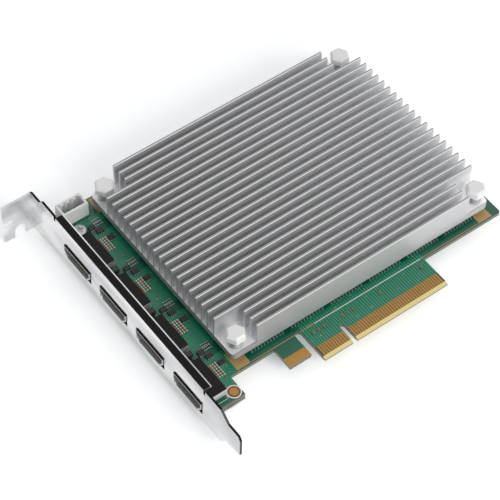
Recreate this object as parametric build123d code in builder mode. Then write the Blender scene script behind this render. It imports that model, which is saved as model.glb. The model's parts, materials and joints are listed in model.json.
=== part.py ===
import os

from build123d import *

os.makedirs("parts", exist_ok=True)

# Driving sizes in millimetres. X runs from the bracket along the card, Y from the edge
# connector to the card's top edge, Z up on the component side. The origin is the middle
# of the key slot at the ends of the contacts, on the underside of the board.

# Circuit board
board_thickness = 1.57
board_left = -56.3
board_right = 74.0
board_top = 101.2
main_edge = 12.85
foot_right = -41.8
foot_low = 4.7
board_corner = 0.8

# Edge connector, its key slot and the plain tab beside it
connector_left = -12.6
connector_right = 39.6
key_width = 1.9
key_top = 8.0
tab_left = -23.9
tab_right = -15.1
tab_low = 4.2
slot_top = 12.3
bevel_length = 1.3
bevel_depth = 0.47
contact_pitch = 1.0
contact_width = 0.7
contact_top = 5.6
contact_from_key = 1.5
contacts_before_key = 11
contacts_after_key = 38
plating = 0.04
tab_plating_top = 7.9

# Bracket: one folded steel sheet
sheet = 0.86
bracket_face = -57.5
bracket_top = 106.5
bracket_length = 120.0
bracket_low = -2.44
bracket_width = 18.42
ear_low = -4.55
ear_width = 18.42
ear_depth = 11.8
ear_neck = 101.0
neck_slope = 2.0
slit_low = 3.1
slit_height = 2.2
slit_depth = 4.2
notch_radius = 2.2
notch_from_face = 5.5
notch_rise = 3.0
flange_depth = 3.1
flange_start = 6.0
flange_end = 90.5
relief = 1.0
taper_start = -3.1
taper_end = -7.1
tongue_low = 1.5
tongue_high = 12.3
tongue_tip_low = 2.7
tongue_tip_high = 10.5
lug_width = 7.0
lug_right = -41.9
lower_hole = (-44.3, 7.4)
upper_hole = (-48.4, 90.5)
board_hole_radius = 1.3
cross_width = 0.6

# Four display sockets in a row
ports = 4
port_first = 77.9
port_pitch = 21.16
shell_width = 15.2
shell_height = 5.3
shell_wall = 0.3
shell_front = -58.0
shell_back = -47.6
shell_cut_in = 1.5
shell_cut_up = 1.6
opening_margin = 0.35
insert_depth = 2.6
fit_gap = 0.05
blade_width = 11.2
blade_thickness = 1.2
blade_lift = 2.5
blade_reach = 6.6
upper_contacts = 10
contact_strip = 0.45
strip_thickness = 0.12

# Extruded heatsink with milled corners
sink_left = -38.5
sink_right = 70.65
sink_low = 16.0
sink_bottom = 3.82
sink_base = 2.58
sink_top = 15.55
fin_count = 25
short_fins = 3
fin_pitch = 3.4
fin_thickness = 0.9
pocket_length = 9.7
base_corner = 1.8
fixing_inset = 3.6

# Spring screws of the heatsink
screw_radius = 1.25
head_across = 6.4
head_height = 2.9
head_bottom = 10.6
spring_outer = 2.5
spring_inner = 1.7
nut_across = 5.0
nut_height = 2.0

# Main chip and memory under the heatsink
chip_side = 31.0
chip_substrate = 0.85
lid_side = 26.0
lid_height = 1.1
memory_length = 14.0
memory_width = 8.0
memory_height = 1.2
memory_count = 6
memory_pitch = 16.5
memory_first = -24.0
memory_row = 21.2
pin_pitch = 1.27
pin_width = 0.5
pin_reach = 1.0

# White header at the board's corner
header_left = -51.6
header_low = 95.0
header_length = 10.0
header_depth = 5.6
header_height = 6.4
header_wall = 0.8
header_pins = 4
header_pitch = 2.4
pin_size = 0.6
pin_top = 10.2

# Small parts beside each socket
driver_side = 2.3
driver_height = 0.9
driver_places = [(-42.8, 8.8), (-41.0, 4.4), (-44.3, 11.4)]
filter_x = -49.6
filter_length = 3.0
filter_width = 2.4
filter_height = 1.1
capacitor_length = 1.3
capacitor_width = 0.7
capacitor_height = 0.6
capacitor_first = -45.3
capacitor_columns = 2
capacitor_rows = 6

bracket_high = bracket_low + bracket_width
ear_high = ear_low + ear_width
sink_high = sink_low + (fin_count - 1) * fin_pitch + fin_thickness
sink_floor = sink_bottom + sink_base
fixings = [
    (x, y)
    for x in (sink_left + fixing_inset, sink_right - fixing_inset)
    for y in (sink_low + fixing_inset, sink_high - fixing_inset)
]
port_centres = [port_first - index * port_pitch for index in range(ports)]


def save(piece, node):
    piece.part.label = node
    export_step(piece.part, f"parts/{node}.step")


def block(x, y, z, length, width, height):
    """A rectangular block in the current part, from its lowest corner."""
    with BuildSketch(Plane.XY.offset(z)) as base:
        with Locations((x, y)):
            Rectangle(length, width, align=(Align.MIN, Align.MIN))
    extrude(base.sketch, amount=height)


def blocks_on_board(centres, length, width, height, z=board_thickness):
    """Equal blocks standing on the board, one round each centre."""
    with BuildSketch(Plane.XY.offset(z)) as bases:
        with Locations(*centres):
            Rectangle(length, width)
    extrude(bases.sketch, amount=height)


# Circuit board: main sheet, foot, plain tab and connector in one outline
with BuildPart() as circuit_board:
    with BuildSketch():
        with Locations((board_left, main_edge)):
            Rectangle(board_right - board_left, board_top - main_edge, align=(Align.MIN, Align.MIN))
        with Locations((board_left, foot_low)):
            Rectangle(foot_right - board_left, main_edge - foot_low, align=(Align.MIN, Align.MIN))
        with Locations((tab_left, tab_low)):
            Rectangle(tab_right - tab_left, main_edge - tab_low, align=(Align.MIN, Align.MIN))
        with Locations((connector_left, 0)):
            Rectangle(connector_right - connector_left, main_edge, align=(Align.MIN, Align.MIN))
        slot_width = connector_left - tab_right
        with Locations(((tab_right + connector_left) / 2, main_edge)):
            Circle(slot_width / 2, mode=Mode.SUBTRACT)
        with Locations((0, 0)):
            Rectangle(key_width, key_top - key_width / 2, align=(Align.CENTER, Align.MIN), mode=Mode.SUBTRACT)
        with Locations((0, key_top - key_width / 2)):
            Circle(key_width / 2, mode=Mode.SUBTRACT)
        with Locations(lower_hole, upper_hole):
            Circle(board_hole_radius, mode=Mode.SUBTRACT)
        with Locations(*fixings):
            Circle(screw_radius, mode=Mode.SUBTRACT)
    extrude(amount=board_thickness)
    fillet(circuit_board.edges().filter_by(Axis.Z).group_by(Axis.X)[-1], board_corner)
    for face_height, depth in ((board_thickness, -bevel_depth), (0.0, bevel_depth)):
        with BuildSketch(Plane.YZ.offset(connector_left)):
            with BuildLine():
                Polyline((0, face_height), (bevel_length, face_height), (0, face_height + depth), close=True)
            make_face()
        extrude(amount=connector_right - connector_left, mode=Mode.SUBTRACT)
save(circuit_board, "circuit_board")

# Contacts: plated strips on both faces of the connector
contact_centres = [
    -contact_from_key - index * contact_pitch for index in range(contacts_before_key)
] + [contact_from_key + index * contact_pitch for index in range(contacts_after_key)]
contact_length = contact_top - bevel_length
contact_middle = bevel_length + contact_length / 2


def contact_row(z):
    blocks_on_board([(x, contact_middle) for x in contact_centres], contact_width, contact_length, plating, z)


with BuildPart() as upper_contact_row:
    contact_row(board_thickness)
save(upper_contact_row, "edge_contacts_upper")

with BuildPart() as lower_contact_row:
    contact_row(-plating)
save(lower_contact_row, "edge_contacts_lower")

with BuildPart() as tab_plating:
    block(tab_left, tab_low, board_thickness, tab_right - tab_left, tab_plating_top - tab_low, plating)
save(tab_plating, "tab_plating")

# Bracket: face plate, outward ear, inward flange and two lugs under the board
with BuildPart() as bracket:
    bracket_end = bracket_top - bracket_length
    with BuildSketch(Plane.YZ.offset(bracket_face)):
        with BuildLine():
            Polyline(
                (bracket_top, ear_low),
                (bracket_top, ear_high),
                (ear_neck, ear_high),
                (ear_neck - neck_slope, bracket_high),
                (flange_end + relief, bracket_high),
                (flange_end + relief, bracket_high - 2 * relief),
                (flange_end, bracket_high - 2 * relief),
                (flange_end, bracket_high),
                (flange_start, bracket_high),
                (flange_start, bracket_high - 2 * relief),
                (flange_start - relief, bracket_high - 2 * relief),
                (flange_start - relief, bracket_high),
                (taper_start, bracket_high),
                (taper_end, tongue_high),
                (bracket_end + relief, tongue_high),
                (bracket_end, tongue_tip_high),
                (bracket_end, tongue_tip_low),
                (taper_end - neck_slope, tongue_low),
                (taper_end + relief, tongue_low),
                (taper_start, bracket_low),
                (ear_neck - neck_slope, bracket_low),
                (ear_neck + relief, ear_low),
                close=True,
            )
        make_face()
        with Locations(*[(y, board_thickness + shell_height / 2) for y in port_centres]):
            RectangleRounded(
                shell_width + 2 * opening_margin,
                shell_height + 2 * opening_margin,
                opening_margin,
                mode=Mode.SUBTRACT,
            )
    extrude(amount=sheet)
    with BuildSketch(Plane.XZ.offset(-bracket_top)):
        with Locations((bracket_face - ear_depth, ear_low)):
            Rectangle(ear_depth + sheet, ear_width, align=(Align.MIN, Align.MIN))
        with Locations((bracket_face - ear_depth, slit_low)):
            Rectangle(slit_depth, slit_height, align=(Align.MIN, Align.MIN), mode=Mode.SUBTRACT)
        with Locations((bracket_face - notch_from_face, ear_low)):
            Rectangle(2 * notch_radius, notch_rise, align=(Align.CENTER, Align.MIN), mode=Mode.SUBTRACT)
        with Locations((bracket_face - notch_from_face, ear_low + notch_rise)):
            Circle(notch_radius, mode=Mode.SUBTRACT)
    extrude(amount=sheet)
    block(bracket_face, flange_start, bracket_high - sheet, flange_depth, flange_end - flange_start, sheet)
    for hole in (lower_hole, upper_hole):
        with BuildSketch(Plane.XY.offset(-sheet)):
            with Locations((bracket_face, hole[1])):
                Rectangle(lug_right - bracket_face, lug_width, align=(Align.MIN, Align.CENTER))
            with Locations(hole):
                Circle(board_hole_radius, mode=Mode.SUBTRACT)
        extrude(amount=sheet)
    ear_bend = bracket.edges().filter_by(Axis.Z).filter_by_position(
        Axis.X, bracket_face + sheet - fit_gap, bracket_face + sheet + fit_gap
    ).filter_by_position(Axis.Y, bracket_top - fit_gap, bracket_top + fit_gap)
    fillet(ear_bend, sheet * 0.9)
save(bracket, "bracket")


# Socket shells, their moulded inserts and contact strips
def shell_outline(centre, inset):
    """Corners of the socket's section, moved inwards: its lower corners are cut."""
    low = board_thickness + inset
    high = board_thickness + shell_height - inset
    half = shell_width / 2 - inset
    return [
        (centre - half, high),
        (centre - half, low + 1.5 * shell_cut_up),
        (centre - half + shell_cut_in, low + shell_cut_up / 2),
        (centre - half + shell_cut_in, low),
        (centre + half - shell_cut_in, low),
        (centre + half - shell_cut_in, low + shell_cut_up / 2),
        (centre + half, low + 1.5 * shell_cut_up),
        (centre + half, high),
    ]


def socket_shell(centre):
    with BuildPart() as shell:
        with BuildSketch(Plane.YZ.offset(shell_front)):
            Polygon(*shell_outline(centre, 0), align=None)
            Polygon(*shell_outline(centre, shell_wall), align=None, mode=Mode.SUBTRACT)
        extrude(amount=shell_back - shell_front)
    return shell


def socket_insert(centre):
    blade_low = board_thickness + blade_lift
    with BuildPart() as insert:
        with BuildSketch(Plane.YZ.offset(shell_back - insert_depth)):
            Polygon(*shell_outline(centre, shell_wall), align=None)
        extrude(amount=insert_depth)
        with BuildSketch(Plane.YZ.offset(shell_back - insert_depth)):
            with Locations((centre, blade_low)):
                Rectangle(blade_width, blade_thickness, align=(Align.CENTER, Align.MIN))
        extrude(amount=-blade_reach)
    return insert


def socket_contacts(centre):
    blade_low = board_thickness + blade_lift
    start = shell_back - insert_depth - blade_reach + contact_strip
    length = blade_reach - contact_strip
    pitch = blade_width / (upper_contacts + 1)
    with BuildPart() as strips:
        for count, z in ((upper_contacts, blade_low + blade_thickness), (upper_contacts - 1, blade_low - strip_thickness)):
            first = centre - (count - 1) * pitch / 2
            rows = [(start + length / 2, first + index * pitch) for index in range(count)]
            blocks_on_board(rows, length, contact_strip, strip_thickness, z)
    return strips


for number, centre in enumerate(port_centres, start=1):
    save(socket_shell(centre), f"socket_shell_{number}")
    save(socket_insert(centre), f"socket_insert_{number}")
    save(socket_contacts(centre), f"socket_contacts_{number}")

# Heatsink: base plate with fins along X, the outer fins cut back at each corner
with BuildPart() as heatsink:
    with BuildSketch(Plane.XY.offset(sink_bottom)):
        with Locations(((sink_left + sink_right) / 2, (sink_low + sink_high) / 2)):
            RectangleRounded(sink_right - sink_left, sink_high - sink_low, base_corner)
        with Locations(*fixings):
            Circle(spring_inner, mode=Mode.SUBTRACT)
    extrude(amount=sink_base)
    with BuildSketch(Plane.XY.offset(sink_floor)):
        for index in range(fin_count):
            is_short = index < short_fins or index >= fin_count - short_fins
            cut = pocket_length if is_short else 0.0
            with Locations((sink_left + cut, sink_low + index * fin_pitch)):
                Rectangle(sink_right - sink_left - 2 * cut, fin_thickness, align=(Align.MIN, Align.MIN))
    extrude(amount=sink_top - sink_floor)
save(heatsink, "heatsink")


# Spring screws through the corners, with springs on the base and nuts under the board
def hexagon(across):
    RegularPolygon(across / 2, 6, major_radius=False)


with BuildPart() as heatsink_screws:
    with BuildSketch(Plane.XY.offset(-nut_height)):
        with Locations(*fixings):
            Circle(screw_radius - fit_gap)
    extrude(amount=nut_height + head_bottom)
    with BuildSketch(Plane.XY.offset(head_bottom)):
        with Locations(*fixings):
            hexagon(head_across)
    extrude(amount=head_height)
    top_edges = heatsink_screws.edges().group_by(Axis.Z)[-1]
    chamfer(top_edges, head_height / 4)
save(heatsink_screws, "heatsink_screws")

with BuildPart() as heatsink_springs:
    with BuildSketch(Plane.XY.offset(sink_floor)):
        with Locations(*fixings):
            Circle(spring_outer)
            Circle(spring_inner, mode=Mode.SUBTRACT)
    extrude(amount=head_bottom - sink_floor)
save(heatsink_springs, "heatsink_springs")

with BuildPart() as heatsink_nuts:
    with BuildSketch(Plane.XY.offset(-nut_height)):
        with Locations(*fixings):
            hexagon(nut_across)
            Circle(screw_radius, mode=Mode.SUBTRACT)
    extrude(amount=nut_height)
save(heatsink_nuts, "heatsink_nuts")

# Main chip: substrate, metal lid and the thermal pad that meets the heatsink
chip_centre = ((sink_left + sink_right) / 2, (sink_low + sink_high) / 2)

with BuildPart() as processor_substrate:
    blocks_on_board([chip_centre], chip_side, chip_side, chip_substrate)
save(processor_substrate, "processor_substrate")

lid_bottom = board_thickness + chip_substrate
with BuildPart() as processor_lid:
    blocks_on_board([chip_centre], lid_side, lid_side, lid_height, lid_bottom)
    chamfer(processor_lid.edges().group_by(Axis.Z)[-1], lid_height / 4)
save(processor_lid, "processor_lid")

pad_bottom = lid_bottom + lid_height
with BuildPart() as processor_pad:
    blocks_on_board([chip_centre], lid_side - 1, lid_side - 1, sink_bottom - pad_bottom, pad_bottom)
save(processor_pad, "processor_thermal_pad")

# Memory chips in a row along the connector side, with leads and thermal pads
memory_centres = [(memory_first + index * memory_pitch, memory_row) for index in range(memory_count)]
memory_top = board_thickness + memory_height

with BuildPart() as memory_chips:
    blocks_on_board(memory_centres, memory_length, memory_width, memory_height)
save(memory_chips, "memory_chips")

with BuildPart() as memory_leads:
    leads_per_side = int(memory_length / pin_pitch)
    lead_places = [
        (x + (index - (leads_per_side - 1) / 2) * pin_pitch, y + side * (memory_width + pin_reach) / 2)
        for x, y in memory_centres
        for index in range(leads_per_side)
        for side in (-1, 1)
    ]
    blocks_on_board(lead_places, pin_width, pin_reach, memory_height / 2)
save(memory_leads, "memory_leads")

with BuildPart() as memory_pads:
    blocks_on_board(memory_centres, memory_length - 1, memory_width - 1, sink_bottom - memory_top, memory_top)
save(memory_pads, "memory_thermal_pads")

# White header: open housing with its four pins
with BuildPart() as header_housing:
    block(header_left, header_low, board_thickness, header_length, header_depth, header_height)
    block_floor = board_thickness + header_wall
    with BuildSketch(Plane.XY.offset(block_floor)):
        with Locations((header_left + header_wall, header_low + header_wall)):
            Rectangle(
                header_length - 2 * header_wall, header_depth - 2 * header_wall, align=(Align.MIN, Align.MIN)
            )
    extrude(amount=header_height, mode=Mode.SUBTRACT)
save(header_housing, "header_housing")

header_middle = header_left + header_length / 2
with BuildPart() as header_pin_row:
    with BuildSketch(Plane.XY.offset(block_floor)):
        with Locations((header_middle, header_low + header_depth / 2)):
            with GridLocations(header_pitch, 1, header_pins, 1):
                Rectangle(pin_size, pin_size)
    extrude(amount=pin_top - block_floor)
save(header_pin_row, "header_pins")

# Screw that holds the board to the bracket's upper lug
with BuildPart() as bracket_screw:
    with BuildSketch(Plane.XY.offset(-sheet)):
        with Locations(upper_hole):
            Circle(board_hole_radius - fit_gap)
    extrude(amount=sheet + board_thickness)
    with BuildSketch(Plane.XY.offset(board_thickness)):
        with Locations(upper_hole):
            Circle(2 * board_hole_radius)
    extrude(amount=board_hole_radius)
    fillet(bracket_screw.edges().group_by(Axis.Z)[-1], board_hole_radius / 2)
    with BuildSketch(Plane.XY.offset(board_thickness + board_hole_radius)):
        with Locations(upper_hole):
            Rectangle(2 * board_hole_radius, cross_width)
            Rectangle(cross_width, 2 * board_hole_radius)
    extrude(amount=-board_hole_radius / 2, mode=Mode.SUBTRACT)
save(bracket_screw, "bracket_screw")

# Rivet that holds the board's foot to the lower lug
with BuildPart() as foot_rivet:
    with BuildSketch(Plane.XY.offset(-sheet)):
        with Locations(lower_hole):
            Circle(board_hole_radius - fit_gap)
    extrude(amount=sheet + board_thickness)
    with BuildSketch(Plane.XY.offset(board_thickness)):
        with Locations(lower_hole):
            Circle(board_hole_radius + 4 * fit_gap)
    extrude(amount=2 * fit_gap)
save(foot_rivet, "foot_rivet")

# Small parts repeated beside each socket
with BuildPart() as driver_chips:
    places = [(x, centre + rise) for centre in port_centres for x, rise in driver_places]
    blocks_on_board(places, driver_side, driver_side * 0.8, driver_height)
save(driver_chips, "driver_chips")

with BuildPart() as filter_blocks:
    places = [(filter_x, y - port_pitch / 2) for y in port_centres[:-1]]
    blocks_on_board(places, filter_length, filter_width, filter_height)
save(filter_blocks, "filter_blocks")

with BuildPart() as port_capacitors:
    places = [
        (capacitor_first + column * 1.5 * capacitor_length, centre + 1.5 * capacitor_width * row)
        for centre in port_centres
        for column in range(capacitor_columns)
        for row in range(capacitor_rows)
    ]
    blocks_on_board(places, capacitor_length, capacitor_width, capacitor_height)
save(port_capacitors, "port_capacitors")

with BuildPart() as coupling_capacitors:
    places = [(x, 10.4) for x in (-9.6, -7.2, -5.0, 2.6, 4.8, 7.0, 18.6, 36.4)]
    blocks_on_board(places, 0.6, 1.1, 0.5)
save(coupling_capacitors, "coupling_capacitors")
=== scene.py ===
# %% [markdown]
# # A video capture card and its looks
#
# The solids come ready made. This lesson gives each of them a surface made of shader nodes,
# adds the finest pieces as meshes, and sets up the light, the floor and the camera.

import json
import math

import bpy
from mathutils import Matrix, Vector


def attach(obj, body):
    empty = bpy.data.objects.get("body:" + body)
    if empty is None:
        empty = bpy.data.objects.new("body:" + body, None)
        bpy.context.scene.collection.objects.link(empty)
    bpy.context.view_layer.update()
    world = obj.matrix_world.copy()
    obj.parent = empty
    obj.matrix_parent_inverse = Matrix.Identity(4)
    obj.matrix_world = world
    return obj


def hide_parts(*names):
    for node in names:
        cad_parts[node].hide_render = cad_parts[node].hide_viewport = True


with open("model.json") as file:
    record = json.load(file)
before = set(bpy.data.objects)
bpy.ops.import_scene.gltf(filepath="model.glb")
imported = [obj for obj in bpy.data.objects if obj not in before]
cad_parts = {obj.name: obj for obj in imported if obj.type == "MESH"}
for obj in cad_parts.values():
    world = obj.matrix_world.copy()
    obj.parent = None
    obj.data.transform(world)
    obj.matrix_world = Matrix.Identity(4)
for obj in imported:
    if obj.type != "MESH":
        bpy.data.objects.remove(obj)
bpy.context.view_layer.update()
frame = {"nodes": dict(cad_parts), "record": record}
print("solids:", len(frame["nodes"]))

# %% [markdown]
# ## Sizes
#
# All lengths are in millimetres, and one number turns them into metres. X runs from the
# bracket along the card, Y from the edge connector to the card's top edge, and Z up. The
# places of repeated parts follow from a first place and a step.

# %% Sizes of the board and the sockets
MM = 0.001
BOARD = 1.57
PORTS = 4
PORT_FIRST = 77.9
PORT_STEP = 21.16
PORT_CENTRES = [PORT_FIRST - PORT_STEP * number for number in range(PORTS)]
SHELL_TOP = 6.87
SHELL_BACK = -47.6
SHELL_HALF = 7.6
PLATE_FACE = -57.5
FLANGE_EDGE = -54.4
CONNECTOR = (-12.6, 39.6)
CONTACT_TOP = 5.6
BEVEL = 1.3
print("socket centres:", [round(centre, 2) for centre in PORT_CENTRES])

# %% Sizes of the heatsink
SINK_LEFT = -38.5
SINK_RIGHT = 70.65
SINK_LOW = 16.0
SINK_HIGH = 98.5
SINK_FLOOR = 6.4
SINK_TOP = 15.55
FIN_STEP = 3.4
HIGHLIGHT_WIDTH = 0.3
HEAD_BOTTOM = 10.6
FIXING_INSET = 3.6
FIXINGS = [
    (x, y)
    for x in (SINK_LEFT + FIXING_INSET, SINK_RIGHT - FIXING_INSET)
    for y in (SINK_LOW + FIXING_INSET, SINK_HIGH - FIXING_INSET)
]
print("spring screws:", len(FIXINGS))

# %% [markdown]
# ## A small class for shader sockets
#
# A shader is a graph of nodes. This class wraps one output socket, so that plain arithmetic
# adds the math nodes, and the method `node` adds any other node.


# %% Socket wrapper
class Field:
    """One output socket of a shader graph."""

    def __init__(self, tree, socket):
        self.tree = tree
        self.socket = socket

    def node(self, kind, *inputs, out=0, **settings):
        """Adds a node of any kind; None leaves an input as it is."""
        made = self.tree.nodes.new(kind)
        for name, setting in settings.items():
            setattr(made, name, setting)
        for place, value in enumerate(inputs):
            if isinstance(value, Field):
                self.tree.links.new(value.socket, made.inputs[place])
            elif value is not None:
                made.inputs[place].default_value = value
        return Field(self.tree, made.outputs[out])

    def math(self, operation, *inputs):
        return self.node("ShaderNodeMath", *inputs, operation=operation)

    def __add__(self, other):
        return self.math("ADD", self, other)

    def __sub__(self, other):
        return self.math("SUBTRACT", self, other)

    def __rsub__(self, other):
        return self.math("SUBTRACT", other, self)

    def __mul__(self, other):
        return self.math("MULTIPLY", self, other)

    def __truediv__(self, other):
        return self.math("DIVIDE", self, other)

    def __rtruediv__(self, other):
        return self.math("DIVIDE", other, self)

    def __mod__(self, other):
        return self.math("FLOORED_MODULO", self, other)

    def __pow__(self, other):
        return self.math("POWER", self, other)

    def __abs__(self):
        return self.math("ABSOLUTE", self)

    def __lt__(self, other):
        return self.math("LESS_THAN", self, other)

    def __gt__(self, other):
        return self.math("GREATER_THAN", self, other)

    __radd__ = __add__
    __rmul__ = __mul__


# %% [markdown]
# ## Helpers for surfaces
#
# `between` marks a band, `either` joins two masks, and `paint` lays one colour over another
# where a mask is one. The mix node has separate inputs for numbers and vectors, which are
# skipped, and its colour is the third output.

# %% Masks and colours
MIX_SKIPPED = [None] * 5
MIX_COLOUR = 2


def between(value, low, high):
    return (value > low) * (value < high)


def either(first, second):
    return first.math("MAXIMUM", first, second)


def paint(mask, over, under):
    """The colour `over` where the mask is one, and `under` where it is zero."""
    settings = {"data_type": "RGBA", "out": MIX_COLOUR}
    return mask.node("ShaderNodeMix", mask, *MIX_SKIPPED, under, over, **settings)


def rgb(red, green, blue):
    return (red, green, blue, 1.0)


def grey(value):
    return rgb(value, value, value)


# %% [markdown]
# ## From a place to a surface
#
# `Place` says where a point of the surface lies and which way it faces. `surface` makes a
# material from a recipe: the recipe gets the place, and answers with colour, roughness and
# height. The height only tilts the light, by a very small depth.


# %% Place
OBJECT_PLACE = 3
TRUE_NORMAL = 1


class Place:
    """Where a point of the surface lies, in millimetres, and which way it faces."""

    def __init__(self, tree):
        start = Field(tree, None)
        point = start.node("ShaderNodeTexCoord", out=OBJECT_PLACE)
        self.at = point.node("ShaderNodeVectorMath", point, None, None, 1 / MM, operation="SCALE")
        self.x, self.y, self.z = self.split(self.at)
        normal = start.node("ShaderNodeNewGeometry", out=TRUE_NORMAL)
        self.facing_x, _, self.facing_z = self.split(normal)

    def split(self, vector):
        """The three components of a vector."""
        parts = vector.node("ShaderNodeSeparateXYZ", vector).socket.node
        return [Field(vector.tree, output) for output in parts.outputs]

    def noise(self, stretch, detail=3.0):
        """Soft noise; a large factor makes it fine along that axis, a small one long."""
        scaled = self.at.node("ShaderNodeVectorMath", self.at, stretch, operation="MULTIPLY")
        return scaled.node("ShaderNodeTexNoise", scaled, None, 1.0, detail)


# %% Surface
BUMP_DEPTH = 0.0001
ROUGH_SWING = 0.2
SIDEWAYS = 0.5


def surface(name, recipe, metallic=0.0, coat=0.0, bump=0.3):
    material = bpy.data.materials.new(name)
    material.use_nodes = True
    tree = material.node_tree
    shader = tree.nodes["Principled BSDF"]
    colour, roughness, height = recipe(Place(tree))
    raised = height.node("ShaderNodeBump", bump, BUMP_DEPTH, None, height)
    tree.links.new(raised.socket, shader.inputs["Normal"])
    tree.links.new(colour.socket, shader.inputs["Base Color"])
    tree.links.new(roughness.socket, shader.inputs["Roughness"])
    shader.inputs["Metallic"].default_value = metallic
    shader.inputs["Coat Weight"].default_value = coat
    return material


def speckled(dark, light, stretch, rough):
    """A recipe for a plain stuff: two near colours, mixed by noise."""

    def recipe(place):
        grain = place.noise(stretch)
        roughness = grain * ROUGH_SWING + (rough - ROUGH_SWING / 2)
        return paint(grain, dark, light), roughness, grain

    return recipe


# %% [markdown]
# ## The circuit board's surface
#
# The solder mask is green, with lighter green copper paths under it: slanted bundles beside
# the sockets, and a fan above the contacts. Bare copper, the pale margin of the contacts and
# printed lines are laid over it one after another.

# %% Board colours and places
MASK_DARK = rgb(0.0, 0.05, 0.03)
MASK = rgb(0.0, 0.13, 0.07)
MASK_PATH = rgb(0.01, 0.26, 0.13)
BARE_GOLD = rgb(0.42, 0.26, 0.1)
PALE_GOLD = rgb(0.68, 0.57, 0.23)
CONTACT_GAP = rgb(0.06, 0.035, 0.015)
RING_BROWN = rgb(0.2, 0.05, 0.02)
EDGE_TAN = rgb(0.1, 0.09, 0.06)
PRINT = rgb(0.8, 0.8, 0.78)

PATH_STEP = 0.8
PATH_SLANT = 0.5
PATH_MIDDLE = -43.0
PATH_ROWS = (8.0, 94.0)
CHANNEL_ROWS = (2.0, 19.0)
FAN_STEP = 1.0
FAN_WIDTH = 0.45
DOT_SCALE = 0.45
DOT_SIZE = 0.1
LINE_ROWS = (13.3, 13.55)
LINE_SPAN = (-32.8, 66.7)
LINE_WHITE = (-6.8, 38.5)
PAD_COLUMNS = ((-38.5, -33.1), (64.8, 70.4))
PAD_ROWS = ((13.3, 21.0), (93.6, 100.8))
FOOT = (-44.3, 7.4)
FOOT_PRINT = 2.6
FOOT_RING = 2.2


# %% Board recipe
def paths(place):
    """Masks of the copper paths and of the bands that hold them."""
    x, y = place.x, place.y
    channel = (y - (PORT_CENTRES[-1] - PORT_STEP / 2)) % PORT_STEP
    band = between(x, SHELL_BACK, SINK_LEFT + 1) * between(channel, *CHANNEL_ROWS)
    slanted = channel + abs(x - PATH_MIDDLE) * PATH_SLANT
    wave = (slanted % PATH_STEP) < (PATH_STEP / 2)
    fan = between(x, *CONNECTOR) * between(y, CONTACT_TOP, SINK_LOW)
    return band, wave, fan


def board_recipe(place):
    x, y = place.x, place.y
    cloud = place.noise((0.08, 0.08, 0.08))
    band, wave, fan = paths(place)
    colour = paint(cloud, MASK, MASK_DARK)
    colour = paint(band * wave * between(y, *PATH_ROWS), MASK_PATH, colour)
    colour = paint(fan * ((x % FAN_STEP) < FAN_WIDTH), MASK_PATH, colour)
    dots = place.at.node("ShaderNodeTexVoronoi", place.at, None, DOT_SCALE)
    colour = paint((dots < DOT_SIZE) * either(fan, band), BARE_GOLD, colour)
    line = between(y, *LINE_ROWS) * between(x, *LINE_SPAN)
    colour = paint(line, BARE_GOLD, colour)
    colour = paint(line * between(x, *LINE_WHITE), PRINT, colour)
    columns = either(between(x, *PAD_COLUMNS[0]), between(x, *PAD_COLUMNS[1]))
    rows = either(between(y, *PAD_ROWS[0]), between(y, *PAD_ROWS[1]))
    colour = paint(columns * rows, BARE_GOLD, colour)
    reach = ((x - FOOT[0]) ** 2 + (y - FOOT[1]) ** 2) ** 0.5
    colour = paint(reach < FOOT_PRINT, PRINT, colour)
    colour = paint(reach < FOOT_RING, RING_BROWN, colour)
    in_connector = between(x, *CONNECTOR)
    colour = paint(in_connector * (y < CONTACT_TOP), CONTACT_GAP, colour)
    colour = paint(in_connector * (y < BEVEL), PALE_GOLD, colour)
    colour = paint(abs(place.facing_z) < SIDEWAYS, EDGE_TAN, colour)
    return colour, cloud * 0.1 + 0.28, wave * band * 0.4 + cloud * 0.2


board_surface = surface("solder mask", board_recipe, coat=0.3, bump=0.15)
print("board nodes:", len(board_surface.node_tree.nodes))

# %% [markdown]
# ## The metals
#
# Drawn and milled metal has fine streaks along one axis: noise that is long along it. The
# near edge of each fin's top has a painted highlight, painted light lifts the sides towards
# the card's far end and down into the gaps, and the bracket's cut edges and flange faces are
# painted near black as a painted dark reflection.

# %% Heatsink recipe
TOUCH = 0.01
SIDE_LIGHT = 0.36
STREAK_LIGHT = 0.05
PAINTED_LIGHT_PER_LENGTH = 0.002
PAINTED_LIGHT_PER_DEPTH = 0.05
BLUE_TINT = 1.01


def heatsink_recipe(place):
    streaks = place.noise((0.03, 4.0, 4.0))
    upper = (place.facing_z > SIDEWAYS) * (place.z > SINK_TOP - 0.5)
    # painted highlight: the near edge of each fin's top is painted bright grey
    painted_fin_highlight = upper * (((place.y - SINK_LOW) % FIN_STEP) < HIGHLIGHT_WIDTH)
    # painted light: on top of the streaks, the sides are painted lighter towards the card's far
    # end
    light = streaks * STREAK_LIGHT + (place.x - SINK_LEFT) * PAINTED_LIGHT_PER_LENGTH + SIDE_LIGHT
    # painted light: in the gaps between the fins, the sides are painted lighter the deeper they
    # go
    painted_light_gap_zone = (place.z > SINK_FLOOR - TOUCH) * (place.y > SINK_LOW + 0.5)
    sides_painted_light = light + (SINK_TOP - place.z) * PAINTED_LIGHT_PER_DEPTH * painted_light_gap_zone
    sides = sides_painted_light.node("ShaderNodeCombineColor", sides_painted_light, sides_painted_light, sides_painted_light * BLUE_TINT)
    colour = paint(upper, rgb(0.34, 0.34, 0.345), sides)
    colour = paint(painted_fin_highlight, grey(0.9), colour)
    return colour, streaks * 0.15 + 0.38, streaks


# %% Bracket recipe
CLOUD_START = 0.35
CLOUD_GAIN = 3.0
FLANGE_RIM = 0.4


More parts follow.
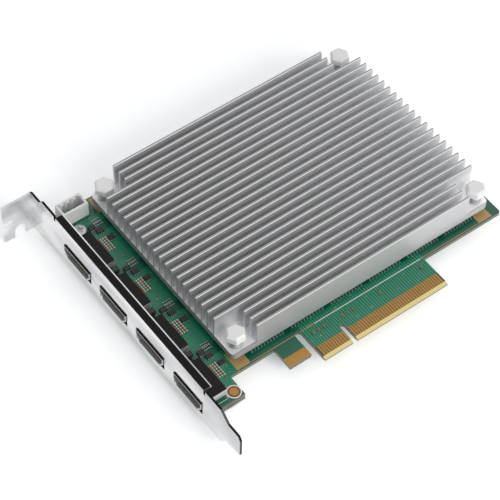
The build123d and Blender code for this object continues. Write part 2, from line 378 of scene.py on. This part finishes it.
def bracket_recipe(place):
    streaks = place.noise((3.0, 0.04, 3.0))
    cloud = place.noise((0.1, 0.035, 0.12), detail=1.0)
    colour = paint((cloud - CLOUD_START) * CLOUD_GAIN, rgb(0.5, 0.5, 0.51), grey(0.86))
    # painted reflection: the cut edges and the flange's faces, up to a bright rim, are painted
    # near black
    painted_dark_reflection = (abs(place.facing_x) < SIDEWAYS) * (place.x > PLATE_FACE - TOUCH)
    colour = paint(painted_dark_reflection * (place.x < FLANGE_EDGE - FLANGE_RIM), grey(0.015), colour)
    return colour, streaks * 0.1 + 0.12, streaks


# %% Gold and socket recipes
def gold_recipe(place):
    wear = place.noise((0.5, 2.0, 0.5))
    colour = paint(wear, rgb(0.36, 0.19, 0.05), rgb(0.47, 0.27, 0.08))
    return colour, wear * 0.15 + 0.25, wear


def socket_recipe(place):
    smooth = place.noise((0.5, 0.5, 0.5))
    colour = paint(smooth, grey(0.5), grey(0.75))
    roof = (place.facing_z > SIDEWAYS) * (place.z > SHELL_TOP - TOUCH)
    colour = paint(roof, grey(0.012), colour)
    return colour, smooth * 0.1 + 0.3, smooth


# %% Metal surfaces
LID = speckled(rgb(0.5, 0.5, 0.51), grey(0.72), (0.1, 2.0, 2.0), 0.32)
SPRING = speckled(rgb(0.35, 0.35, 0.36), grey(0.6), (1.0, 1.0, 1.0), 0.35)
TIN = speckled(rgb(0.6, 0.6, 0.58), rgb(0.78, 0.78, 0.77), (2.0, 2.0, 2.0), 0.35)

# the heatsink carries a painted highlight on the fins' near edges and painted light on their
# sides
heatsink_surface = surface("milled aluminium with painted light", heatsink_recipe, metallic=0.4, bump=0.1)
# the bracket's steel carries a painted dark reflection on its cut edges and flange faces
bracket_surface = surface("bright steel with painted dark reflection", bracket_recipe, metallic=1.0, bump=0.04)
gold_surface = surface("gold plating", gold_recipe, metallic=0.9, bump=0.05)
socket_surface = surface("socket steel", socket_recipe, metallic=0.8, bump=0.05)
lid_surface = surface("lid steel", LID, metallic=1.0, bump=0.05)
spring_surface = surface("spring steel", SPRING, metallic=1.0, bump=0.1)
tin_surface = surface("tinned metal", TIN, metallic=0.9, bump=0.1)
print("materials so far:", len(bpy.data.materials))

# %% [markdown]
# ## The plastics and the soft pads
#
# Each is two near colours mixed by fine noise, which also moves the roughness a little.

# %% Plastic surfaces
FINE = (3.0, 3.0, 3.0)
NYLON = speckled(rgb(0.74, 0.74, 0.71), rgb(0.84, 0.84, 0.82), FINE, 0.42)
BLACK = speckled(rgb(0.012, 0.012, 0.013), grey(0.03), FINE, 0.5)
SUBSTRATE = speckled(rgb(0.02, 0.1, 0.04), rgb(0.03, 0.15, 0.06), FINE, 0.5)
PAD = speckled(rgb(0.3, 0.5, 0.62), rgb(0.4, 0.6, 0.72), FINE, 0.8)
CAPACITOR = speckled(rgb(0.2, 0.11, 0.06), rgb(0.3, 0.18, 0.1), FINE, 0.5)
WHITE_LINE = speckled(rgb(0.7, 0.7, 0.68), rgb(0.8, 0.8, 0.79), FINE, 0.6)
print_surface = surface("white print", WHITE_LINE)

# %% [markdown]
# ## Which solid has which surface
#
# The record names a material slot for each solid, and this table names a surface for each
# slot.

# %% Slots
SURFACES = {
    "solder_mask": board_surface,
    "gold_plate": gold_surface,
    "bright_steel": bracket_surface,
    "heatsink_metal": heatsink_surface,
    "white_nylon": surface("white nylon", NYLON),
    "spring_steel": spring_surface,
    "chip_substrate": surface("chip substrate", SUBSTRATE),
    "lid_metal": lid_surface,
    "thermal_pad": surface("thermal pad", PAD),
    "chip_black": surface("black plastic", BLACK),
    "tinned_lead": tin_surface,
    "capacitor_brown": surface("capacitor", CAPACITOR),
    "shell_steel": socket_surface,
}

for entry in frame["record"]["subparts"]:
    solid = frame["nodes"][entry["node"]]
    solid.data.materials.clear()
    solid.data.materials.append(SURFACES[entry["material_slot"]])
print("slots:", len(SURFACES))

# %% [markdown]
# ## Meshes from corners
#
# `boxes` builds one mesh from many boxes, each given by its lowest and highest corner.
# `add` puts a mesh in the scene, ties it to the card and names its material slot.

# %% Mesh helpers
BOX_FACES = [(0, 3, 2, 1), (4, 5, 6, 7), (0, 1, 5, 4), (1, 2, 6, 5), (2, 3, 7, 6), (3, 0, 4, 7)]


def add(name, points, faces, slot, material=None, soften=0.0):
    mesh = bpy.data.meshes.new(name)
    mesh.from_pydata([Vector(point) * MM for point in points], [], faces)
    mesh.update()
    mesh.materials.append(material or SURFACES[slot])
    piece = bpy.data.objects.new(name, mesh)
    bpy.context.scene.collection.objects.link(piece)
    if soften:
        bevel = piece.modifiers.new("soft edges", "BEVEL")
        bevel.width = soften * MM
        bevel.segments = 2
    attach(piece, "root")
    return piece


def boxes(name, spans, slot, material=None, soften=0.0):
    points, faces = [], []
    for low, high in spans:
        first = len(points)
        for z in (low[2], high[2]):
            points += [(low[0], low[1], z), (high[0], low[1], z)]
            points += [(high[0], high[1], z), (low[0], high[1], z)]
        faces += [tuple(first + corner for corner in face) for face in BOX_FACES]
    return add(name, points, faces, slot, material, soften)


def around(x, y, z, length, width, height):
    """The lowest and highest corner of a box that stands at a place."""
    return (x - length / 2, y - width / 2, z), (x + length / 2, y + width / 2, z + height)


# %% [markdown]
# ## Coils of the springs
#
# A tube is swept along a helix. Each ring of the tube is turned with the helix, and the
# rings are joined by faces. The coils stand in for the plain sleeves.

# %% Springs
WIRE = 0.34
COIL_RADIUS = 2.1
TURNS = 4
STEPS = 24
SIDES = 8
RINGS = TURNS * STEPS + 1
RISE = HEAD_BOTTOM - SINK_FLOOR - 2 * WIRE


def coil_ring(centre_x, centre_y, ring):
    """The points of one ring of the tube."""
    turn = 2 * math.pi * ring / STEPS
    middle = SINK_FLOOR + WIRE + RISE * ring / (RINGS - 1)
    points = []
    for side in range(SIDES):
        swing = 2 * math.pi * side / SIDES
        reach = COIL_RADIUS + WIRE * math.cos(swing)
        x = centre_x + reach * math.cos(turn)
        y = centre_y + reach * math.sin(turn)
        points.append((x, y, middle + WIRE * math.sin(swing)))
    return points


def coil_mesh(first):
    """The faces of one coil whose points start at a number: its skin and its two ends."""
    faces = []
    for ring in range(RINGS - 1):
        for side in range(SIDES):
            here = first + ring * SIDES + side
            beside = first + ring * SIDES + (side + 1) % SIDES
            faces.append((here, here + SIDES, beside + SIDES, beside))
    faces.append(tuple(first + side for side in range(SIDES)))
    last = first + (RINGS - 1) * SIDES
    faces.append(tuple(last + side for side in reversed(range(SIDES))))
    return faces


coil_points, coil_faces = [], []
for centre_x, centre_y in FIXINGS:
    coil_faces += coil_mesh(len(coil_points))
    for ring in range(RINGS):
        coil_points += coil_ring(centre_x, centre_y, ring)

coils = add("spring_coils", coil_points, coil_faces, "spring_steel")
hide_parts("heatsink_springs")
print("coil faces:", len(coil_faces))

# %% [markdown]
# ## Small parts beside each socket
#
# The drivers get metal legs on two sides, the capacitors get bright ends, and a small array
# of resistors stands beyond them.

# %% Legs, ends and resistors
DRIVERS = [(-42.8, 8.8), (-41.0, 4.4), (-44.3, 11.4)]
LEG = (0.3, 0.5, 0.25)
LEG_STEP = 0.75
LEG_COUNT = (3, 1)
LEG_REACH = 1.1
CAPACITOR_FIRST = -45.3
CAPACITOR_STEP = (1.95, 1.05)
CAPACITOR_COUNT = (2, 6)
CAPACITOR_REACH = 0.55
CAPACITOR_END = (0.3, 0.74, 0.63)
RESISTOR_FIRST = (-42.6, 11.9)
RESISTOR_STEP = (0.85, 1.5)
RESISTOR_COUNT = (4, 2)
RESISTOR = (0.5, 1.0, 0.4)
RESISTOR_REACH = 0.45
RESISTOR_END = (0.54, 0.25, 0.43)
BOTH = (-1, 1)


def grid(first, step, count):
    """Places in columns and rows, from a first place."""
    return [
        (first[0] + column * step[0], first[1] + row * step[1])
        for column in range(count[0])
        for row in range(count[1])
    ]


legs, ends, resistors = [], [], []
for centre in PORT_CENTRES:
    for driver_x, rise in DRIVERS:
        for x, y in grid((driver_x - LEG_STEP, centre + rise), (LEG_STEP, 0), LEG_COUNT):
            legs += [around(x, y + side * LEG_REACH, BOARD, *LEG) for side in BOTH]
    for x, y in grid((CAPACITOR_FIRST, centre), CAPACITOR_STEP, CAPACITOR_COUNT):
        ends += [around(x + side * CAPACITOR_REACH, y, BOARD, *CAPACITOR_END) for side in BOTH]
    first = (RESISTOR_FIRST[0], centre + RESISTOR_FIRST[1])
    for x, y in grid(first, RESISTOR_STEP, RESISTOR_COUNT):
        resistors.append(around(x, y, BOARD, *RESISTOR))
        ends += [around(x, y + side * RESISTOR_REACH, BOARD, *RESISTOR_END) for side in BOTH]

boxes("driver_legs", legs, "tinned_lead")
boxes("capacitor_ends", ends, "tinned_lead", soften=0.05)
boxes("channel_resistors", resistors, "chip_black", soften=0.04)
print("legs:", len(legs), "ends:", len(ends), "resistors:", len(resistors))

# %% [markdown]
# ## Marks and blocks of the sockets
#
# Each shell has two pressed tongues and a row of small bright marks on its top. A printed
# line runs round it on the board. A black block closes its back, and another one stands
# between it and the next socket.

# %% Sockets
MARK_COUNT = 7
MARK_STEP = 1.5
MARK = (0.35, 0.8, 0.06)
MARK_X = -53.6
TONGUE = (2.2, 1.0, 0.22)
TONGUE_X = -51.6
TONGUE_REACH = 3.6
LINE_X = (-52.0, -47.2)
LINE_REACH = SHELL_HALF + 0.4
LINE_ALONG = (8.6, 0.18, 0.02)
LINE_ACROSS = (0.18, 2 * SHELL_HALF + 0.9, 0.02)
BACK_BLOCK = (0.7, 9.0, 2.6)
BACK_PLACE = (-46.7, -0.4)
SIDE_BLOCK = (3.0, 2.0, 2.1)
SIDE_PLACE = (-49.0, -SHELL_HALF - 1.6)
SIDE_RISE = 1.1

tongues, prints, blacks = [], [], []
for centre in PORT_CENTRES:
    for side in BOTH:
        tongues.append(around(TONGUE_X, centre + side * TONGUE_REACH, SHELL_TOP, *TONGUE))
        prints.append(around(LINE_X[0], centre + side * LINE_REACH, BOARD, *LINE_ALONG))
    for index in range(MARK_COUNT):
        y = centre + (index - (MARK_COUNT - 1) / 2) * MARK_STEP
        tongues.append(around(MARK_X, y, SHELL_TOP, *MARK))
    prints.append(around(LINE_X[1], centre, BOARD, *LINE_ACROSS))
    blacks.append(around(BACK_PLACE[0], centre + BACK_PLACE[1], BOARD, *BACK_BLOCK))
for centre in PORT_CENTRES[:-1]:
    y = centre + SIDE_PLACE[1]
    blacks.append(around(SIDE_PLACE[0], y, BOARD + SIDE_RISE, *SIDE_BLOCK))

boxes("shell_tongues", tongues, "shell_steel", soften=0.08)
boxes("socket_outlines", prints, "white_nylon", print_surface)
boxes("socket_blocks", blacks, "chip_black", soften=0.15)
print("tongues and marks:", len(tongues), "blocks:", len(blacks))

# %% [markdown]
# ## Light, floor and background
#
# The world is soft and white. What the camera sees of it, straight or in a mirror, is plain
# white, and the floor is pale. One large lamp gives the solids their light and dark sides.

# %% World
WORLD_LIGHT = 0.62

world = bpy.data.worlds.new("soft white")
bpy.context.scene.world = world
world.use_nodes = True
tree = world.node_tree
tree.nodes.clear()
start = Field(tree, None)
rays = start.node("ShaderNodeLightPath").socket.node
seen = Field(tree, rays.outputs["Is Camera Ray"])
mirrored = Field(tree, rays.outputs["Is Glossy Ray"])
passed = Field(tree, rays.outputs["Is Transmission Ray"])
direct = either(either(seen, mirrored), passed)
soft = start.node("ShaderNodeBackground", rgb(0.96, 0.98, 1.0), WORLD_LIGHT)
plain = start.node("ShaderNodeBackground", grey(1.0), 1.0)
mixed = start.node("ShaderNodeMixShader", direct, soft, plain)
output = tree.nodes.new("ShaderNodeOutputWorld")
tree.links.new(mixed.socket, output.inputs["Surface"])
print("world nodes:", len(tree.nodes))

# %% Floor
FLOOR_HALF = 1.5
FLOOR_DROP = 4.6
FLOOR_GLOW = 0.3
FLOOR = speckled(grey(0.93), grey(0.96), (0.01, 0.01, 0.01), 0.9)

outline = [(-1, -1), (1, -1), (1, 1), (-1, 1)]
corners = [(x * FLOOR_HALF, y * FLOOR_HALF, -FLOOR_DROP * MM) for x, y in outline]
floor_mesh = bpy.data.meshes.new("floor")
floor_mesh.from_pydata(corners, [], [(0, 1, 2, 3)])
floor_surface = surface("pale floor", FLOOR, bump=0.0)
floor_shader = floor_surface.node_tree.nodes["Principled BSDF"]
floor_shader.inputs["Emission Color"].default_value = grey(1.0)
floor_shader.inputs["Emission Strength"].default_value = FLOOR_GLOW
floor_mesh.materials.append(floor_surface)
floor = bpy.data.objects.new("floor", floor_mesh)
bpy.context.scene.collection.objects.link(floor)
print("floor side in metres:", 2 * FLOOR_HALF)

# %% Lamp
LAMP_SIZE = 0.5
LAMP_POWER = 4.5
LAMP_PLACE = (0.1, -0.75, 0.6)

lamp_data = bpy.data.lights.new("large lamp", "AREA")
lamp_data.shape = "DISK"
lamp_data.size = LAMP_SIZE
lamp_data.energy = LAMP_POWER
lamp = bpy.data.objects.new("large lamp", lamp_data)
lamp.location = LAMP_PLACE
lamp.rotation_euler = (-lamp.location).to_track_quat("-Z", "Y").to_euler()
bpy.context.scene.collection.objects.link(lamp)
print("lamp power:", LAMP_POWER)

# %% [markdown]
# ## The camera
#
# It looks down on the component side from beyond the bracket's lower end, through a long
# lens. Its three axes are built from two angles and a small roll.

# %% Camera
AZIMUTH = math.radians(-37.94)
ELEVATION = math.radians(53.03)
ROLL = math.radians(1.63)
STAND = Vector((-265.89, -283.12, 563.21)) * MM
LENS = 149.03
SENSOR = 36.0
CLIP = (0.01, 10.0)

camera_data = bpy.data.cameras.new("camera")
camera_data.lens = LENS
camera_data.sensor_width = SENSOR
camera_data.clip_start, camera_data.clip_end = CLIP
level = math.cos(ELEVATION)
back = Vector((math.sin(AZIMUTH) * level, -math.cos(AZIMUTH) * level, math.sin(ELEVATION)))
right = Vector((math.cos(AZIMUTH), math.sin(AZIMUTH), 0.0))
up = back.cross(right)
camera_x = math.cos(ROLL) * right + math.sin(ROLL) * up
camera_y = -math.sin(ROLL) * right + math.cos(ROLL) * up
turned = Matrix((camera_x, camera_y, back)).transposed().to_4x4()
camera = bpy.data.objects.new("camera", camera_data)
camera.matrix_world = Matrix.Translation(STAND) @ turned
bpy.context.scene.collection.objects.link(camera)
bpy.context.scene.camera = camera
bpy.context.scene.view_settings.view_transform = "Standard"
print("camera at", [round(value, 4) for value in camera.matrix_world.translation])
